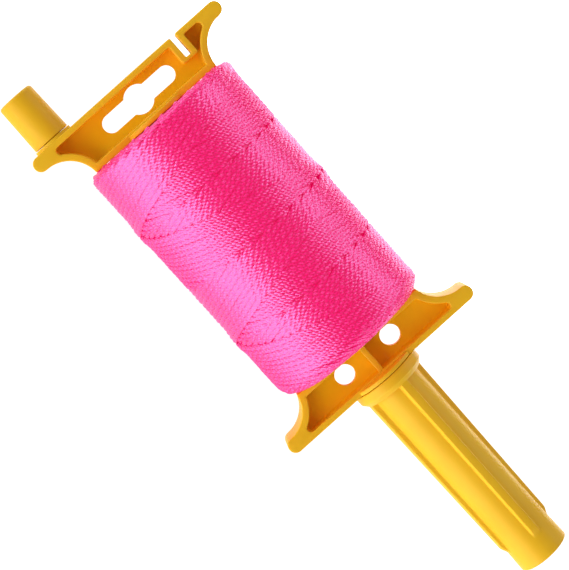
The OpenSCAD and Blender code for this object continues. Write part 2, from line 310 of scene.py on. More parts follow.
amberFinish = amberPlastic("amberPlastic", amberLook)
lineFinish = twistedLine("pinkTwistedLine", lineLook)
cardFinish = kraftCard("kraftCard", cardLook)
steelFinish = zincSteel("zincSteel", steelLook)
nylonFinish = plainNylon("naturalNylon", nylonLook)
print("finishes made")


def smooth(low, high, value):
    t = min(max((value - low)/(high - low), 0), 1)
    return t*t*(3 - 2*t)


def arc(centre, radius, start, stop, steps):
    # points on a circle from one angle to another, in degrees
    turns = [math.radians(start + (stop - start)*i/steps) for i in range(steps + 1)]
    return [(centre[0] + radius*math.cos(t), centre[1] + radius*math.sin(t)) for t in turns]


def softened(path, closed=True, steps=5):
    # a point written as (a, b, radius) becomes a round corner of that radius
    done = []
    count = len(path)
    for i, point in enumerate(path):
        radius = point[2] if len(point) > 2 else 0
        if not radius or (not closed and i in (0, count - 1)):
            done.append((point[0], point[1]))
            continue
        here = Vector(point[:2])
        back = (Vector(path[i - 1][:2]) - here).normalized()
        ahead = (Vector(path[(i + 1) % count][:2]) - here).normalized()
        half = back.angle(ahead)/2
        middle = here + (back + ahead).normalized()*radius/math.sin(half)
        first = here + back*radius/math.tan(half) - middle
        last = here + ahead*radius/math.tan(half) - middle
        sweep = first.angle_signed(last)
        for k in range(steps + 1):
            spot = middle + Matrix.Rotation(-sweep*k/steps, 2) @ first
            done.append((spot.x, spot.y))
    return done


sharpestCorner = 0.35       # keeps the reach of an offset at a sharp corner short


def offsetLoop(points, distance):
    # the closed outline moved outwards, corner by corner
    count = len(points)
    area = sum(points[i - 1][0]*points[i][1] - points[i][0]*points[i - 1][1] for i in range(count))
    outward = 1 if area > 0 else -1
    moved = []
    for i in range(count):
        here = Vector(points[i])
        before = (here - Vector(points[i - 1])).normalized()
        after = (Vector(points[(i + 1) % count]) - here).normalized()
        normal = Vector((before.y + after.y, -before.x - after.x)).normalized()
        flat = Vector((after.y, -after.x))
        reach = distance*outward/max(normal.dot(flat), sharpestCorner)
        moved.append((here.x + normal.x*reach, here.y + normal.y*reach))
    return moved


def newObject(name, data):
    made = bpy.data.objects.new(name, data)
    bpy.context.scene.collection.objects.link(made)
    return made


def finishPiece(name, mesh, body, material, nodes, sharpAngle=38):
    # lays a mesh in the shared frame, names it and hands it to the body that it rides on
    mesh.transform(reelToRow)
    if sharpAngle:
        mesh.set_sharp_from_angle(angle=math.radians(sharpAngle))
    mesh.materials.clear()
    mesh.materials.append(material)
    mesh.update()
    piece = newObject(name, mesh)
    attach(piece, body)
    if nodes:
        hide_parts(*nodes)
    return piece


weld = dict(reach=0.0005, flatFrom=0.9999)      # how near doubles lie, and how straight a flat face looks


def meshFrom(work, name):
    # faces that look straight up or down the plates' depth stay flat, the rest are smooth
    bmesh.ops.remove_doubles(work, verts=work.verts, dist=weld["reach"])
    bmesh.ops.recalc_face_normals(work, faces=work.faces)
    for face in work.faces:
        face.smooth = abs(face.normal.z) < weld["flatFrom"]
    mesh = bpy.data.meshes.new(name)
    work.to_mesh(mesh)
    work.free()
    return mesh


def turnedShape(work, profile, closed=False, around=96, across=0.0):
    # turns (x, radius) points about the reel's axis, or about a line moved across it
    rings = []
    for x, radius in profile:
        if radius == 0:
            rings.append([work.verts.new((x, across, 0))]*around)
            continue
        turns = [2*math.pi*i/around for i in range(around)]
        rings.append([work.verts.new((x, across + radius*math.cos(t), radius*math.sin(t))) for t in turns])
    pairs = list(zip(rings, rings[1:]))
    if closed:
        pairs.append((rings[-1], rings[0]))
    for first, second in pairs:
        for i in range(around):
            j = (i + 1) % around
            corners = list(dict.fromkeys((first[i], first[j], second[j], second[i])))
            if len(corners) > 2:
                work.faces.new(corners)


def evaluatedMesh(piece):
    # the modifiers' result as a plain mesh; the working object goes
    graph = bpy.context.evaluated_depsgraph_get()
    mesh = bpy.data.meshes.new_from_object(piece.evaluated_get(graph))
    bpy.data.objects.remove(piece)
    return mesh


def newGeometryTree(name, inputs):
    # a Geometry Nodes tree with named number inputs; gives its net, its geometry and its inputs as wires
    tree = bpy.data.node_groups.new(name, "GeometryNodeTree")
    tree.interface.new_socket("Geometry", in_out="INPUT", socket_type="NodeSocketGeometry")
    tree.interface.new_socket("Geometry", in_out="OUTPUT", socket_type="NodeSocketGeometry")
    for label in inputs:
        tree.interface.new_socket(label, in_out="INPUT", socket_type="NodeSocketFloat")
    net = Net(tree)
    geometry = net.add("NodeGroupInput")
    wires = {label: Wire(tree, geometry.socket.node.outputs[label]) for label in inputs}
    return net, geometry, wires


def closeGeometryTree(net, geometry, material):
    real = net.add("GeometryNodeRealizeInstances", None, {"Geometry": geometry})
    painted = net.add("GeometryNodeSetMaterial", None, {"Geometry": real, "Material": material})
    net.add("NodeGroupOutput", None, {"Geometry": painted})


def runTree(mesh, net, inputs):
    # puts the tree on a mesh as a modifier, sets its inputs by identifier and keeps the result
    piece = newObject("working", mesh)
    modifier = piece.modifiers.new("tree", "NODES")
    modifier.node_group = net.tree
    for item in net.tree.interface.items_tree:
        if item.in_out == "INPUT" and item.name in inputs:
            modifier[item.identifier] = inputs[item.name]
    return evaluatedMesh(piece)


cameraPlace = dict(
    above=792.5, along=-7.5, across=1.4,        # from the reel's axis at the crank plate, in mm
    lean=6.37, dip=-0.53, roll=47.96,           # towards the grip, towards the notch side, about the view
    lens=129.4, sensor=36, near=0.01, far=20,
)


def makeCamera(place):
    lean, dip, roll = (math.radians(place[key]) for key in ("lean", "dip", "roll"))
    forward = Vector((math.sin(lean)*math.cos(dip), math.sin(dip), -math.cos(lean)*math.cos(dip)))
    right = Vector((math.cos(roll), math.sin(roll), 0))
    right = (right - right.dot(forward)*forward).normalized()
    up = right.cross(forward)
    turn = Matrix((right, up, -forward)).transposed().to_4x4()
    data = bpy.data.cameras.new("camera")
    data.lens = place["lens"]
    data.sensor_width = place["sensor"]
    data.clip_start = place["near"]
    data.clip_end = place["far"]
    camera = newObject("camera", data)
    spot = reelToRow @ Vector((place["along"], place["across"], place["above"]))
    camera.matrix_world = Matrix.Translation(spot) @ Matrix.Rotation(lieAngle, 4, "X") @ turn
    bpy.context.scene.camera = camera


makeCamera(cameraPlace)


plateSize = dict(
    halfWidth=47.25, halfDepth=8.5, hornHeight=6.2, waist=30.6, web=3.2,
    outerRim=2.5, innerRim=2.8, recessEnd=1.65,
    edge=0.42, hollow=0.35, draft=0.08,         # rounding of edges, fillet in the recess, lean of its walls
    lip=0.12, cornerOut=0.5, cornerIn=0.7, steps=4, overlap=1.0,
)
crankSize = dict(
    height=19.6, notchFromAxis=25.4, notchWidth=2.5, notchDepth=9.6, notchMouth=3.54,
    notchWall=2.4, notchEndWall=1.5, mouthRound=0.5, notchRound=0.4, wallRound=0.6,
    slotFromRoll=10.1, slotWidth=7.3, slotLength=35.4, slotMiddle=5.9,
)
handleSize = dict(
    height=17.4, holeRadius=4.2, holeSpacing=23.6, holeFromEdge=9.7, ribWidth=2.3, ribDrop=0.5, ribEdge=0.4,
)
discSize = dict(
    radius=15, thick=2.0, collarDisc=1.7, edge=0.45, spigotRadius=11.04, spigotLength=28, stubRadius=5.94,
    spigotEdge=0.4, spigotAround=64,
)
sideRadius = plateSize["halfWidth"] - plateSize["hornHeight"]/2 - plateSize["waist"]
sideMiddle = plateSize["waist"] + sideRadius
rollLength = alongReel("roll_core", 1) + seatGap


def mirroredHalf(half):
    # a half outline listed from the outer edge to the roll side, with its mirror image before it
    return [(point[0], -point[1], *point[2:]) for point in reversed(half)]


def plateOutline(size, height, edgeDetour):
    horn = size["hornHeight"]
    reach = horn + sideRadius - height
    bottom = 180 + math.degrees(math.acos(reach/sideRadius))
    half = arc((horn/2, sideMiddle), horn/2, 180, 0, steps=22)
    half += arc((horn + sideRadius, sideMiddle), sideRadius, 180, bottom, steps=40)[1:-2]
    corner = arc((horn + sideRadius, sideMiddle), sideRadius, bottom, bottom, steps=1)[0]
    half.append((corner[0], corner[1], size["cornerOut"]))
    return softened(mirroredHalf(half) + edgeDetour + half)


def recessOutline(size, height, edgeDetour):
    # the small round end of the recess touches the outer rim and the rim along the concave side
    end = size["recessEnd"]
    rim = sideRadius + size["innerRim"]
    endX = size["outerRim"] + end
    middleX = size["hornHeight"] + sideRadius
    rise = math.sqrt((rim + end)**2 - (middleX - endX)**2)
    lean = math.degrees(math.atan2(rise, middleX - endX))
    reach = middleX - (height - size["innerRim"])
    bottom = 180 + math.degrees(math.acos(reach/rim))
    half = arc((endX, sideMiddle - rise), end, 180, lean, steps=14)
    half += arc((middleX, sideMiddle), rim, 180 + lean, bottom, steps=30)[:-3]
    corner = arc((middleX, sideMiddle), rim, bottom, bottom, steps=1)[0]
    half.append((corner[0], corner[1], size["cornerIn"]))
    return softened(mirroredHalf(half) + edgeDetour + half)


def notchDetours(size, crank):
    # the notch as a detour of the plate's outer edge, and its wall as a detour of the recess
    middle = crank["notchFromAxis"]
    half = crank["notchWidth"]/2
    mouth = crank["notchMouth"]/2
    depth = crank["notchDepth"]
    mouthRound, notchRound, wallRound = (crank[key] for key in ("mouthRound", "notchRound", "wallRound"))
    cut = [(0, middle - mouth, mouthRound), (mouth - half, middle - half), (depth, middle - half, notchRound),
           (depth, middle + half, notchRound), (mouth - half, middle + half), (0, middle + mouth, mouthRound)]
    wallEnd = depth + crank["notchEndWall"]
    wallHalf = half + crank["notchWall"]
    rim = size["outerRim"]
    wall = [(rim, middle - wallHalf, size["cornerIn"]), (wallEnd, middle - wallHalf, wallRound),
            (wallEnd, middle + wallHalf, wallRound), (rim, middle + wallHalf, size["cornerIn"])]
    return cut, wall


def slotOutline(crank):
    # the hang slot: a round middle between two arms with round ends
    middleX = crank["height"] - crank["slotFromRoll"]
    arm = crank["slotWidth"]/2
    middle = crank["slotMiddle"]
    end = crank["slotLength"]/2 - arm
    lean = math.degrees(math.asin(arm/middle))
    points = arc((middleX, end), arm, 180, 0, steps=16)
    points += arc((middleX, 0), middle, 90 - lean, lean - 90, steps=24)
    points += arc((middleX, -end), arm, 0, -180, steps=16)
    points += arc((middleX, 0), middle, 270 - lean, 90 + lean, steps=24)
    return points


def isInside(point, loop):
    # whether a closed loop of vertices goes round the point
    inside = False
    for first, second in zip(loop, loop[1:] + loop[:1]):
        a, b = first.co, second.co
        if (a.y > point.y) != (b.y > point.y):
            inside ^= point.x < a.x + (b.x - a.x)*(point.y - a.y)/(b.y - a.y)
    return inside


def plateShape(size, outline, recess, holes, place):
    # one closed skin: rounded outer walls, a rim face, recess walls with a fillet, web floor and holes
    work = bmesh.new()
    depth, edge, hollow, lip = (size[key] for key in ("halfDepth", "edge", "hollow", "lip"))
    floor = size["web"]/2
    quarter = [math.radians(90*i/size["steps"]) for i in range(size["steps"] + 1)]

    def ring(points, offset, z):
        return [work.verts.new((*place(u, v), z)) for u, v in offsetLoop(points, offset)]

    def skin(rings):
        for first, second in zip(rings, rings[1:]):
            for i in range(len(first)):
                work.faces.new((first[i - 1], first[i], second[i], second[i - 1]))

    def cap(loops):
        # flat triangles inside the first loop and outside the others
        insideOnly, sameSpot = 1, 1e-6
        corners = [vert for loop in loops for vert in loop]
        number = {vert: i for i, vert in enumerate(corners)}
        edges = [(number[loop[i - 1]], number[loop[i]]) for loop in loops for i in range(len(loop))]
        filled = delaunay_2d_cdt([vert.co.to_2d() for vert in corners], edges, [], insideOnly, sameSpot)
        for triangle in filled[2]:
            verts = [corners[filled[3][i][0]] for i in triangle]
            middle = sum((vert.co for vert in verts), Vector())/3
            if not any(isInside(middle, loop) for loop in loops[1:]):
                work.faces.new(verts)

    front = [(-edge*(1 - math.sin(t)), depth - edge*(1 - math.cos(t))) for t in quarter]
    walls = [ring(outline, offset, z) for offset, z in front]
    walls += [ring(outline, offset, -z) for offset, z in reversed(front)]
    skin(walls)
    holeWalls = []
    for hole in holes:
        half = [(lip*(1 - math.sin(t)), floor - lip*(1 - math.cos(t))) for t in quarter]
        rings = [ring(hole, offset, z) for offset, z in half]
        rings += [ring(hole, offset, -z) for offset, z in reversed(half)]
        skin(rings)
        holeWalls.append(rings)
    for side in (1, -1):
        down = [(edge*(1 - math.sin(t)), depth - edge*(1 - math.cos(t))) for t in quarter]
        foot = [(hollow*(math.cos(t) - 1) - size["draft"], floor + hollow*(1 - math.sin(t))) for t in quarter]
        rings = [ring(recess, offset, side*z) for offset, z in down + foot]
        skin(rings)
        cap([walls[0 if side > 0 else -1], rings[0]])
        cap([rings[-1]] + [hole[0 if side > 0 else -1] for hole in holeWalls])
    return work


def roundedBar(work, low, high, edge):
    # a box with rounded edges
    made = bmesh.ops.create_cube(work, size=1)["verts"]
    for vert in made:
        vert.co = Vector(low[i] + (vert.co[i] + 0.5)*(high[i] - low[i]) for i in range(3))
    edges = list({e for vert in made for e in vert.link_edges})
    bmesh.ops.bevel(work, geom=edges, offset=edge, segments=3, profile=0.5, affect="EDGES")


def disc(work, start, stop):
    profile = [(start, 0), (start, discSize["radius"], discSize["edge"]),
               (stop, discSize["radius"], discSize["edge"]), (stop, 0)]
    turnedShape(work, softened(profile, closed=False), around=128)


def spigot(work, start, stop, radius):
    edge = discSize["spigotEdge"]
    profile = [(start, 0), (start, radius, edge), (stop, radius, edge), (stop, 0)]
    turnedShape(work, softened(profile, closed=False), around=discSize["spigotAround"])


def markThin(mesh, size):
    # 1 on the web, 0 on the rims: where the web is painted brighter, standing in for light that comes through
    #                              it
    backlitWeb = mesh.attributes.new("backlitWeb", "FLOAT", "POINT")
    low, high = size["web"]/2 + size["hollow"], size["halfDepth"] - size["edge"]
    backlitWeb.data.foreach_set("value", [1 - smooth(low, high, abs(vert.co.z)) for vert in mesh.vertices])
    return mesh


def makeCrankPlate():
    height, overlap = crankSize["height"], plateSize["overlap"]
    cut, wall = notchDetours(plateSize, crankSize)
    outline = plateOutline(plateSize, height, cut)
    recess = recessOutline(plateSize, height, wall)
    work = plateShape(plateSize, outline, recess, [slotOutline(crankSize)], lambda u, v: (u - height, v))
    disc(work, -discSize["thick"], 0)
    spigot(work, -overlap, discSize["spigotLength"], discSize["spigotRadius"])
    bossFoot, bossEnd = overlap/2 - height, -height - knobSize["bossHeight"]
    bossRadius = knobSize["bossRadius"]
    boss = [(bossFoot, 0), (bossFoot, bossRadius), (bossEnd, bossRadius, knobSize["bossEdge"]), (bossEnd, 0)]
    turnedShape(work, softened(boss, closed=False), across=-knobSize["fromAxis"])
    pegEnd, pegRadius = alongReel("crank_knob", 0) + knobSize["pocket"], knobSize["pegRadius"]
    peg = [(-height, 0), (-height, pegRadius), (pegEnd, pegRadius, knobSize["pegEdge"]), (pegEnd, 0)]
    turnedShape(work, softened(peg, closed=False), across=-knobSize["fromAxis"], around=64)
    mesh = markThin(meshFrom(work, "crank_plate_moulded"), plateSize)
    finishPiece("crank_plate_moulded", mesh, "reel", amberFinish, ["crank_plate"])


def makeHandlePlate():
    height, overlap = handleSize["height"], plateSize["overlap"]
    outer = rollLength + height
    outline = plateOutline(plateSize, height, [])
    recess = recessOutline(plateSize, height, [])
    holes = []
    for side in (-1, 1):
        middle = (handleSize["holeFromEdge"], side*handleSize["holeSpacing"]/2)
        holes.append(arc(middle, handleSize["holeRadius"], 0, 360, steps=40)[:-1])
    work = plateShape(plateSize, outline, recess, holes, lambda u, v: (outer - u, v))
    halfRib = handleSize["ribWidth"]/2
    ribDepth = plateSize["halfDepth"] - handleSize["ribDrop"]
    roundedBar(work, (rollLength + overlap, -halfRib, -ribDepth), (outer - overlap, halfRib, ribDepth),
               handleSize["ribEdge"])
    disc(work, rollLength, rollLength + discSize["thick"])
    spigot(work, rollLength - discSize["spigotLength"], rollLength + overlap, discSize["spigotRadius"])
    disc(work, outer - discSize["collarDisc"], outer)
    spigot(work, outer - overlap, alongReel("grip_washer", 0), discSize["stubRadius"])
    mesh = markThin(meshFrom(work, "handle_plate_moulded"), plateSize)
    finishPiece("handle_plate_moulded", mesh, "reel", amberFinish, ["handle_plate"])


knobSize = dict(
    fromAxis=toKnob.length/mm, footRadius=7.95, footEdge=0.45, endRadius=7.6, endRound=1.3,
    bore=4.06, boreEdge=0.3, seatEdge=0.2, pocket=3.9, washerRoom=0.25, pocketRadius=5.4, pocketEdge=0.5,
    bossRadius=8.4, bossHeight=1.2, bossEdge=0.3, pegRadius=4.0, pegEdge=0.3,
)


def makeKnob():
    # a sleeve: outside with a round end, pocket for the screw, bore over the peg
    size = knobSize
    foot, end = alongReel("crank_knob", 1), alongReel("crank_knob", 0)
    seat = end + size["pocket"] + size["washerRoom"]
    profile = [(foot, size["bore"], size["boreEdge"]), (foot, size["footRadius"], size["footEdge"]),
               (end, size["endRadius"], size["endRound"]), (end, size["pocketRadius"], size["pocketEdge"]),
               (seat, size["pocketRadius"], size["boreEdge"]), (seat, size["bore"], size["seatEdge"])]
    work = bmesh.new()
    turnedShape(work, softened(profile, steps=8), closed=True, across=-size["fromAxis"], around=128)
    finishPiece("crank_knob_moulded", meshFrom(work, "crank_knob_moulded"), "knob", amberFinish,
                ["crank_knob"])


gripSize = dict(
    radius=10.9, barrelEdge=0.2, endRadius=11.15, endEdge=0.6, plainEnd=9.2,
    collarRadius=15, collar=3.0, collarFront=0.45, collarEdge=0.5,
    collarSlope=2.1, slopeEdge=0.25, slopeFoot=0.3,
    lip=0.8, lipRadius=12.2, lipEdge=0.3,       # hides the thrust washer
    bore=6.0, boreEdge=0.3, seatEdge=0.2, hollow=8.2, bearing=9, pocketRadius=8.2, pocket=9.7, pocketEdge=0.4,
    ribCount=4, ribTop=13.2, ribFar=12.3, ribHalfTop=1.35, ribHalfFoot=2.15, ribFade=4.5,
    ribStart=(-0.6, 0.1), turn=15, skin=0.4, around=312,
)


def ribTree(size):
    # pushes the barrel's skin out along evenly spaced ribs with sloping flanks
    labels = ["Rib count", "Rib top", "Rib far top", "Half top", "Half foot", "Turn",
              "Start", "Stop", "Fade", "Skin"]
    net, barrel, given = newGeometryTree("gripRibs", labels)
    x, y, z = net.parts(net.add("GeometryNodeInputPosition"))
    radius = (y*y + z*z).root()
    pitch = 2*math.pi/given["Rib count"]
    share = (y.math("ARCTAN2", y, z) - given["Turn"])/pitch
    away = (share - share.whole()).size()*pitch*radius
    flank = net.step(away, given["Half top"], given["Half foot"], 1.0, 0.0)
    along = net.step(x, given["Stop"] - given["Fade"], given["Stop"], 1.0, 0.0)
    before, after = size["ribStart"]
    started = net.step(x, given["Start"] + before, given["Start"] + after)
    slope = (x - given["Start"])/(given["Stop"] - given["Start"])
    top = given["Rib top"] + (given["Rib far top"] - given["Rib top"])*slope
    lift = ((top - radius)*flank*along*started).atLeast(0.0)
    scale = (radius + lift)/radius
    moved = net.add("ShaderNodeCombineXYZ", None, {0: x, 1: y*scale, 2: z*scale})
    outside = radius.isOver(given["Skin"])
    sockets = {"Geometry": barrel, "Selection": outside, "Position": moved}
    ribbed = net.add("GeometryNodeSetPosition", None, sockets)
    closeGeometryTree(net, ribbed, amberFinish)
    return net


def makeGrip(size):
    start, end = alongReel("handle_grip", 0), alongReel("handle_grip", 1)
    slopeStart = start + size["collar"]
    slopeEnd = slopeStart + size["collarSlope"]
    plain = end - size["plainEnd"]
    lip = start - size["lip"]
    outside = [(start, size["lipRadius"], size["lipEdge"]), (lip, size["lipRadius"], size["lipEdge"]),
               (lip, size["collarRadius"], size["collarFront"]),
               (slopeStart, size["collarRadius"], size["collarEdge"]),
               (slopeEnd, size["ribTop"], size["slopeEdge"]),
               (slopeEnd + size["slopeFoot"], size["radius"], size["barrelEdge"])]
    outside += [(plain - size["ribFade"]*(1 - i/10), size["radius"]) for i in range(11)]
    outside += [(end, size["endRadius"], size["endEdge"])]
    seat = end - size["pocket"]
    inside = [(end, size["pocketRadius"], size["pocketEdge"]), (seat, size["pocketRadius"], size["boreEdge"]),
              (seat, size["bore"], size["seatEdge"]), (seat - size["bearing"], size["bore"]),
              (seat - size["bearing"], size["hollow"]), (start + size["bearing"], size["hollow"]),
              (start + size["bearing"], size["bore"]), (start, size["bore"], size["boreEdge"])]
    work = bmesh.new()
    turnedShape(work, softened(outside + inside, steps=6), closed=True, around=size["around"])
    net = ribTree(size)
    ribbed = runTree(meshFrom(work, "grip_barrel"), net, {
        "Rib count": float(size["ribCount"]), "Rib top": size["ribTop"], "Rib far top": size["ribFar"],
        "Half top": size["ribHalfTop"], "Half foot": size["ribHalfFoot"], "Turn": math.radians(size["turn"]),
        "Start": slopeEnd, "Stop": plain, "Fade": size["ribFade"], "Skin": size["radius"] - size["skin"],
    })
    finishPiece("handle_grip_moulded", ribbed, "grip", amberFinish, ["handle_grip"],
                sharpAngle=55)


screwSize = dict(
    headRadius=3.1, headHeight=2.0, topShare=0.86, topEdge=1.0, underEdge=0.15,
    shank=1.5, rootEdge=0.1, length=12, tipEdge=0.5,
    crossHalf=0.4, crossReach=1.75, crossDepth=1.1, crossEdge=0.12,
)


def makeScrewMesh(size):
    # one pan head screw whose head rests on x = 0 and whose shank points to +x
    work = bmesh.new()
    top = -size["headHeight"]
    profile = [(top, 0), (top, size["topShare"]*size["headRadius"], size["topEdge"]),
               (0, size["headRadius"], size["underEdge"]), (0, size["shank"], size["rootEdge"]),
               (size["length"], size["shank"], size["tipEdge"]), (size["length"], 0)]
    turnedShape(work, softened(profile, closed=False), around=48)
    head = newObject("head", meshFrom(work, "screw_head"))
    cutters = []
    for turn in (0, 90):
        work = bmesh.new()
        roundedBar(work, (top - 1, -size["crossReach"], -size["crossHalf"]),
                   (top + size["crossDepth"], size["crossReach"], size["crossHalf"]), size["crossEdge"])
        bmesh.ops.rotate(work, verts=work.verts, matrix=Matrix.Rotation(math.radians(turn), 3, "X"))
        cutter = newObject("cutter", meshFrom(work, "cross"))
        cut = head.modifiers.new("cross", "BOOLEAN")
        cut.operation = "DIFFERENCE"
        cut.object = cutter
        cutters.append(cutter)
    mesh = evaluatedMesh(head)
    for cutter in cutters:
        bpy.data.objects.remove(cutter)
    return mesh


def makeScrews():
    # two seats, each a vertex; the screw on the grip's seat is turned end for end
    seats = [(alongReel("knob_washer", 0), -knobSize["fromAxis"], 0), (alongReel("grip_washer", 1), 0, 0)]
    mesh = bpy.data.meshes.new("screw_seats")
    mesh.from_pydata(seats, [], [])
    screw = newObject("screw", makeScrewMesh(screwSize))
    net, points, given = newGeometryTree("screwsOnSeats", ["Half turn after"])
    model = net.add("GeometryNodeObjectInfo", None, {"Object": screw}, out="Geometry")
    along = net.parts(net.add("GeometryNodeInputPosition"))[0]
    turn = net.add("ShaderNodeCombineXYZ", None, {2: along.isOver(given["Half turn after"])*math.pi})
    sockets = {"Points": points, "Instance": model, "Rotation": turn}
    placed = net.add("GeometryNodeInstanceOnPoints", None, sockets)
    closeGeometryTree(net, placed, steelFinish)
    made = runTree(mesh, net, {"Half turn after": 0.0})
    bpy.data.objects.remove(screw)
    for face in made.polygons:
        face.use_smooth = True
    finishPiece("pan_screws", made, "reel", steelFinish, ["knob_screw", "grip_screw"], sharpAngle=35)


washerSize = dict(hole=1.6, holeEdge=0.1, knobRadius=4.9, gripRadius=7.7, edge=0.3)


def makeWashers(size):
    for node, radius, across in (("knob_washer", size["knobRadius"], -knobSize["fromAxis"]),
                                 ("grip_washer", size["gripRadius"], 0)):
        low, high = alongReel(node, 0), alongReel(node, 1)
        profile = [(low, size["hole"], size["holeEdge"]), (low, radius, size["edge"]),
                   (high, radius, size["edge"]), (high, size["hole"], size["holeEdge"])]
        work = bmesh.new()
        turnedShape(work, softened(profile), closed=True, across=across)
        name = node + "_pressed"
        finishPiece(name, meshFrom(work, name), "reel", steelFinish, [node])


rollSize = dict(
    radius=35.8, crankShoulder=3.5, handleShoulder=7.0, coreRadius=13.5,
    line=2.3, lobe=0.13, lay=19.2, plies=6,     # thickness, depth of the valleys, length of one twist
    cycles=27, crossings=4, firstCross=1.9, crossPitch=27.65,       # rounds in a cell, cells, their places
    swell=0.65, newest=3, past=1.3, ease=0.9,   # lift of the newest passes, how a pass dips under others
    wander=0.15, wanderWave=9, fineWave=3.7, fineShare=0.6, ripple=0.05, rippleWave=5,  # uneven winding
    underDepth=1.15, underInset=0.7, underRings=90,                 # the plain body under the strands
    inset=0.2, roundness=0.3, step=0.75, seed=7,
)
endSize = dict(
    step=1.0, pitch=1.9, handleLean=35, sunk=0.12, coarse=0.12, coarseTurns=3, fine=0.1, fineTurns=7,
    drift=0.4, sway=0.15, swayTurns=2, drop=0.1,
)


def shoulders(size, x):
    # for each end of the roll: how far x is from it, its shoulder's radius and which way it faces
    return (x - seatGap, size["crankShoulder"], -1), (rollLength - seatGap - x, size["handleShoulder"], 1)


def rollRadius(size, x):
    # the roll's outer radius at x, with its two round shoulders
    drop = 0.0
    for away, shoulder, _ in shoulders(size, x):
        if away < shoulder:
            drop = max(drop, shoulder - math.sqrt(max(shoulder**2 - (shoulder - away)**2, 0)))
    return size["radius"] - drop


def strandPaths(size, cell):
    # The line goes round while it travels to and fro, so it crosses itself once in every cell's length,
    # and each pass lies one strand beside the last. A pass stays on top until a newer one crosses it,
    # so a forward pass shows in the first part of a cell and a backward pass in the last part.
    chance = random.Random(size["seed"]*100 + cell)
    cycles, pitch = size["cycles"], size["crossPitch"]
    start = size["firstCross"] + cell*pitch
    past, ease = size["past"]/cycles, size["ease"]/cycles
    top = size["radius"] - size["line"]/2 - size["swell"]
    stretch = math.hypot(1, math.pi/pitch*top)   # line for each millimetre along the reel
    # the newest crossing is at the top of every second cell and at the bottom of the others
    newestAngle = math.pi/2*(1 if cell % 2 == 0 else -1)
    paths = []
    for direction in (1, -1):
        for age in range(cycles):
            shown = (0, 1 - age/cycles) if direction > 0 else (age/cycles, 1)
            low, high = shown[0] - past, shown[1] + past
            phases = [chance.uniform(0, 2*math.pi) for _ in range(4)]
            lift = size["swell"]*smooth(size["newest"], 0, age)
            points = []
            count = max(int((high - low)*pitch*stretch/size["step"]), 4)
            for i in range(count + 1):
                u = low + (high - low)*i/count
                x = start + u*pitch
                angle = newestAngle - math.pi*(u if direction > 0 else 2 - u) - 2*math.pi*age/cycles
                walk = u*pitch*stretch
                side = math.sin(walk/size["wanderWave"] + phases[0])
                side += size["fineShare"]*math.sin(walk/size["fineWave"] + phases[1])
                risen = smooth(shown[0] - ease, shown[0] + ease, u)
                risen *= 1 - smooth(shown[1] - ease, shown[1] + ease, u)
                within = min(max(x, seatGap + size["inset"]), rollLength - seatGap - size["inset"])
                radius = rollRadius(size, within) - size["radius"] + top
                radius += lift*risen - size["line"]*(1 - risen)
                radius += size["ripple"]*math.sin(walk/size["rippleWave"] + phases[2])
                points.append((x + size["wander"]*side, radius*math.sin(angle), radius*math.cos(angle)))
            paths.append(points)
    return paths


def rollNormal(size, x, radius):
    # the wound surface's own direction at a point: along the reel and away from its axis
    for away, shoulder, side in shoulders(size, x):
        if away < shoulder:
            over = max(radius - size["radius"] + shoulder, 0)
            lean = math.atan2(shoulder - away, over)
            return side*math.sin(lean), math.cos(lean)
    return 0.0, 1.0


def pressFlat(mesh, size):
    # the pressed strands shade like the roll they lie on, with part of their own roundness
    own = size["roundness"]
    normals = []
    for vert in mesh.vertices:
        radius = math.hypot(vert.co.y, vert.co.z)
        along, away = rollNormal(size, vert.co.x, radius)
        wound = Vector((along, away*vert.co.y/radius, away*vert.co.z/radius))
        normals.append((vert.normal*own + wound*(1 - own)).normalized())
    mesh.normals_split_custom_set_from_vertices(normals)


def endPath(size, end, atHandle):
    # one long flat spiral that covers a shoulder from the outermost crossing down to the card tube
    chance = random.Random(size["seed"]*1000 + atHandle)
    shoulder = size["handleShoulder"] if atHandle else size["crankShoulder"]
    edge = rollLength - seatGap if atHandle else seatGap
    inward = -1 if atHandle else 1
    half = size["line"]/2
    bend = shoulder - half
    firstLean = math.radians(end["handleLean"])
    if not atHandle:
        firstLean = math.asin((shoulder - size["firstCross"])/bend)
    arcLength = (math.pi/2 - firstLean)*bend
    flat = size["radius"] - shoulder - size["coreRadius"] - half
    phases = [chance.uniform(0, 2*math.pi) for _ in range(3)]
    points = []
    walk, turn = 0.0, 0.0
    while walk < arcLength + flat:
        if walk < arcLength:
            lean = firstLean + walk/bend
            x = edge + inward*(shoulder - bend*math.sin(lean))
            radius = size["radius"] - shoulder + bend*math.cos(lean)
        else:
            x = edge + inward*half
            radius = size["radius"] - shoulder - (walk - arcLength)
        ripple = end["coarse"]*math.sin(end["coarseTurns"]*turn + phases[0])
        ripple += end["fine"]*math.sin(end["fineTurns"]*turn + phases[1] + end["drift"]*walk)
        x += inward*(end["sunk"] + ripple)
        radius += end["sway"]*math.sin(end["swayTurns"]*turn + phases[2]) - end["drop"]
        points.append((x, radius*math.sin(turn), radius*math.cos(turn)))
        angleStep = end["step"]/radius
        turn += angleStep
        walk += end["pitch"]*angleStep/(2*math.pi)
    return [points]


def storeNumber(net, geometry, name, value):
    settings = {"data_type": "FLOAT", "domain": "POINT"}
    sockets = {"Geometry": geometry, "Name": name, "Value": value}
    return net.add("GeometryNodeStoreNamedAttribute", settings, sockets)


